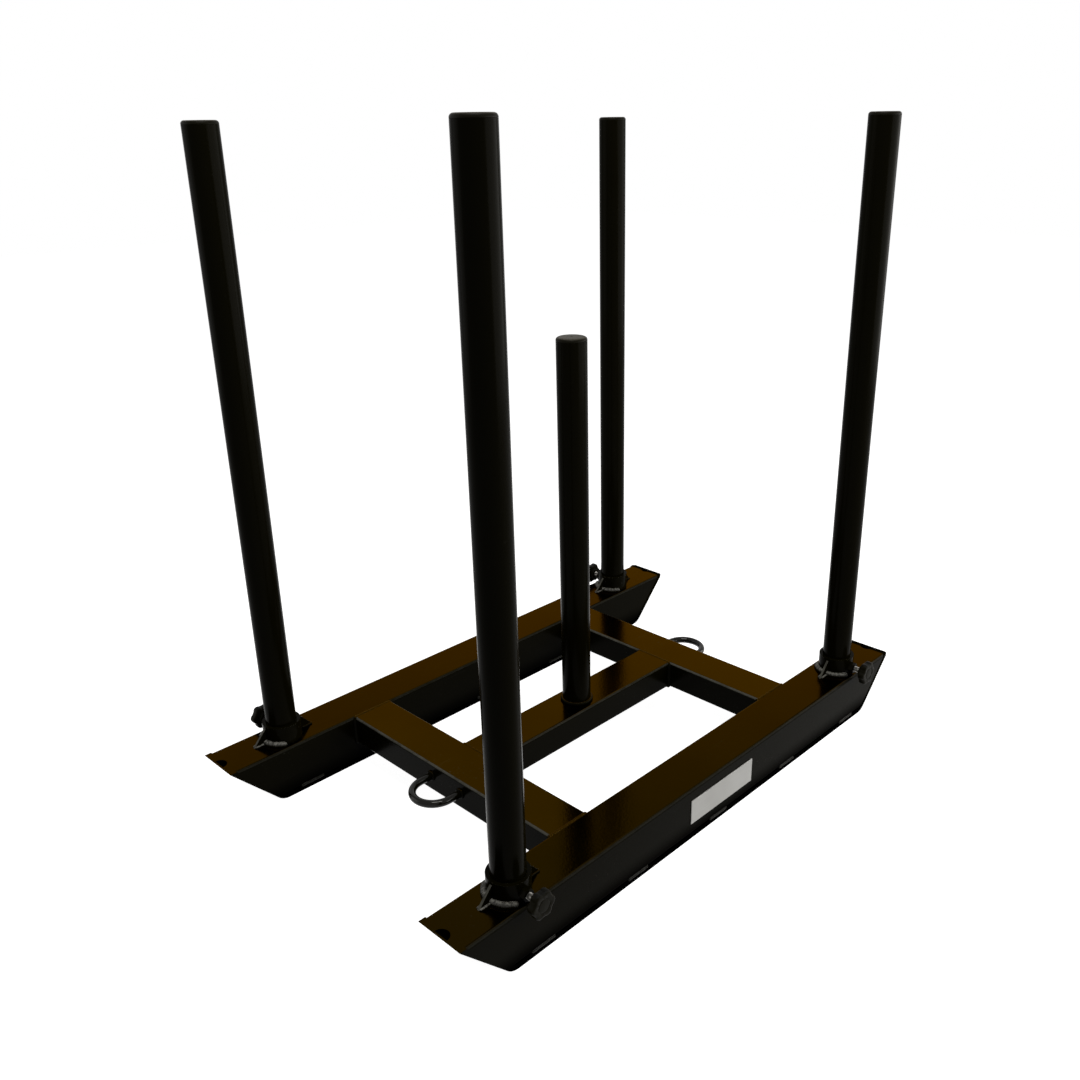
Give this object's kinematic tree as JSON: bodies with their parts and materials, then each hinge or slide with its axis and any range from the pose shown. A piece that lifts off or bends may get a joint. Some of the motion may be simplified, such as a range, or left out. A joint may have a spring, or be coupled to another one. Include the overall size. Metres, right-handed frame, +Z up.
{
  "type": "weight sled",
  "caption": "Push and drag sled with box-section runners on bent skid bars, lift-out loading posts clamped by star knobs, a centre post and round-bar tow loops.",
  "frame": {"origin": "middle of the sled's footprint, on the floor", "axes": "+X forwards along the runners, +Y to the left, +Z up along the posts"},
  "size_m": [1.037, 0.665, 1.018],
  "materials": {
    "frame_paint": "gloss black powder coat",
    "post_paint": "satin black powder coat",
    "skid_paint": "black powder coat, scuffed where it slides",
    "weld_paint": "black powder coat over weld beads",
    "cap_plastic": "moulded black polyethylene",
    "knob_plastic": "moulded black nylon",
    "screw_steel": "zinc-plated thread",
    "plate_metal": "satin, bare"
  },
  "bodies": {
    "frame": {"runner_left": "frame_paint", "runner_right": "frame_paint", "front_crossmember": "frame_paint", "rear_crossmember": "frame_paint", "centre_bar": "frame_paint", "front_tow_loop": "frame_paint", "rear_tow_loop": "frame_paint", "skid_left": "skid_paint", "skid_right": "skid_paint", "centre_post": "post_paint", "centre_post_cap": "cap_plastic", "blank_plate": "plate_metal", "frame_welds": "weld_paint", "skid_welds": "weld_paint", "socket_welds": "weld_paint", "socket_front_left": "frame_paint", "gussets_front_left": "frame_paint", "weld_nut_front_left": "frame_paint", "socket_front_right": "frame_paint", "gussets_front_right": "frame_paint", "weld_nut_front_right": "frame_paint", "socket_rear_left": "frame_paint", "gussets_rear_left": "frame_paint", "weld_nut_rear_left": "frame_paint", "socket_rear_right": "frame_paint", "gussets_rear_right": "frame_paint", "weld_nut_rear_right": "frame_paint"},
    "post_front_left": {"post_front_left": "post_paint", "post_cap_front_left": "cap_plastic"},
    "screw_front_left": {"screw_front_left": "screw_steel"},
    "knob_front_left": {"knob_front_left": "knob_plastic"},
    "post_front_right": {"post_front_right": "post_paint", "post_cap_front_right": "cap_plastic"},
    "screw_front_right": {"screw_front_right": "screw_steel"},
    "knob_front_right": {"knob_front_right": "knob_plastic"},
    "post_rear_left": {"post_rear_left": "post_paint", "post_cap_rear_left": "cap_plastic"},
    "screw_rear_left": {"screw_rear_left": "screw_steel"},
    "knob_rear_left": {"knob_rear_left": "knob_plastic"},
    "post_rear_right": {"post_rear_right": "post_paint", "post_cap_rear_right": "cap_plastic"},
    "screw_rear_right": {"screw_rear_right": "screw_steel"},
    "knob_rear_right": {"knob_rear_right": "knob_plastic"}
  },
  "joints": [
    {"name": "post_lift_front_left", "type": "slide", "parent": "frame", "child": "post_front_left", "axis": [0, 0, 1], "range_m": [0, 0.1]},
    {"name": "screw_travel_front_left", "type": "slide", "parent": "frame", "child": "screw_front_left", "axis": [0, 1, 0], "range_m": [0, 0.003]},
    {"name": "knob_turn_front_left", "type": "hinge", "parent": "screw_front_left", "child": "knob_front_left", "pos_m": [0.4015, 0.324, 0.1], "axis": [0, 1, 0], "range_deg": [0, 722]},
    {"name": "post_lift_front_right", "type": "slide", "parent": "frame", "child": "post_front_right", "axis": [0, 0, 1], "range_m": [0, 0.1]},
    {"name": "screw_travel_front_right", "type": "slide", "parent": "frame", "child": "screw_front_right", "axis": [0, -1, 0], "range_m": [0, 0.003]},
    {"name": "knob_turn_front_right", "type": "hinge", "parent": "screw_front_right", "child": "knob_front_right", "pos_m": [0.4015, -0.324, 0.1], "axis": [0, -1, 0], "range_deg": [0, 722]},
    {"name": "post_lift_rear_left", "type": "slide", "parent": "frame", "child": "post_rear_left", "axis": [0, 0, 1], "range_m": [0, 0.1]},
    {"name": "screw_travel_rear_left", "type": "slide", "parent": "frame", "child": "screw_rear_left", "axis": [0, 1, 0], "range_m": [0, 0.003]},
    {"name": "knob_turn_rear_left", "type": "hinge", "parent": "screw_rear_left", "child": "knob_rear_left", "pos_m": [-0.4015, 0.324, 0.1], "axis": [0, 1, 0], "range_deg": [0, 722]},
    {"name": "post_lift_rear_right", "type": "slide", "parent": "frame", "child": "post_rear_right", "axis": [0, 0, 1], "range_m": [0, 0.1]},
    {"name": "screw_travel_rear_right", "type": "slide", "parent": "frame", "child": "screw_rear_right", "axis": [0, -1, 0], "range_m": [0, 0.003]},
    {"name": "knob_turn_rear_right", "type": "hinge", "parent": "screw_rear_right", "child": "knob_rear_right", "pos_m": [-0.4015, -0.324, 0.1], "axis": [0, -1, 0], "range_deg": [0, 722]}
  ],
  "couplings": [
    {"joint": "knob_turn_front_left", "follows": "screw_travel_front_left", "rad_per_m": 4188.8},
    {"joint": "knob_turn_front_right", "follows": "screw_travel_front_right", "rad_per_m": 4188.8},
    {"joint": "knob_turn_rear_left", "follows": "screw_travel_rear_left", "rad_per_m": 4188.8},
    {"joint": "knob_turn_rear_right", "follows": "screw_travel_rear_right", "rad_per_m": 4188.8}
  ]
}
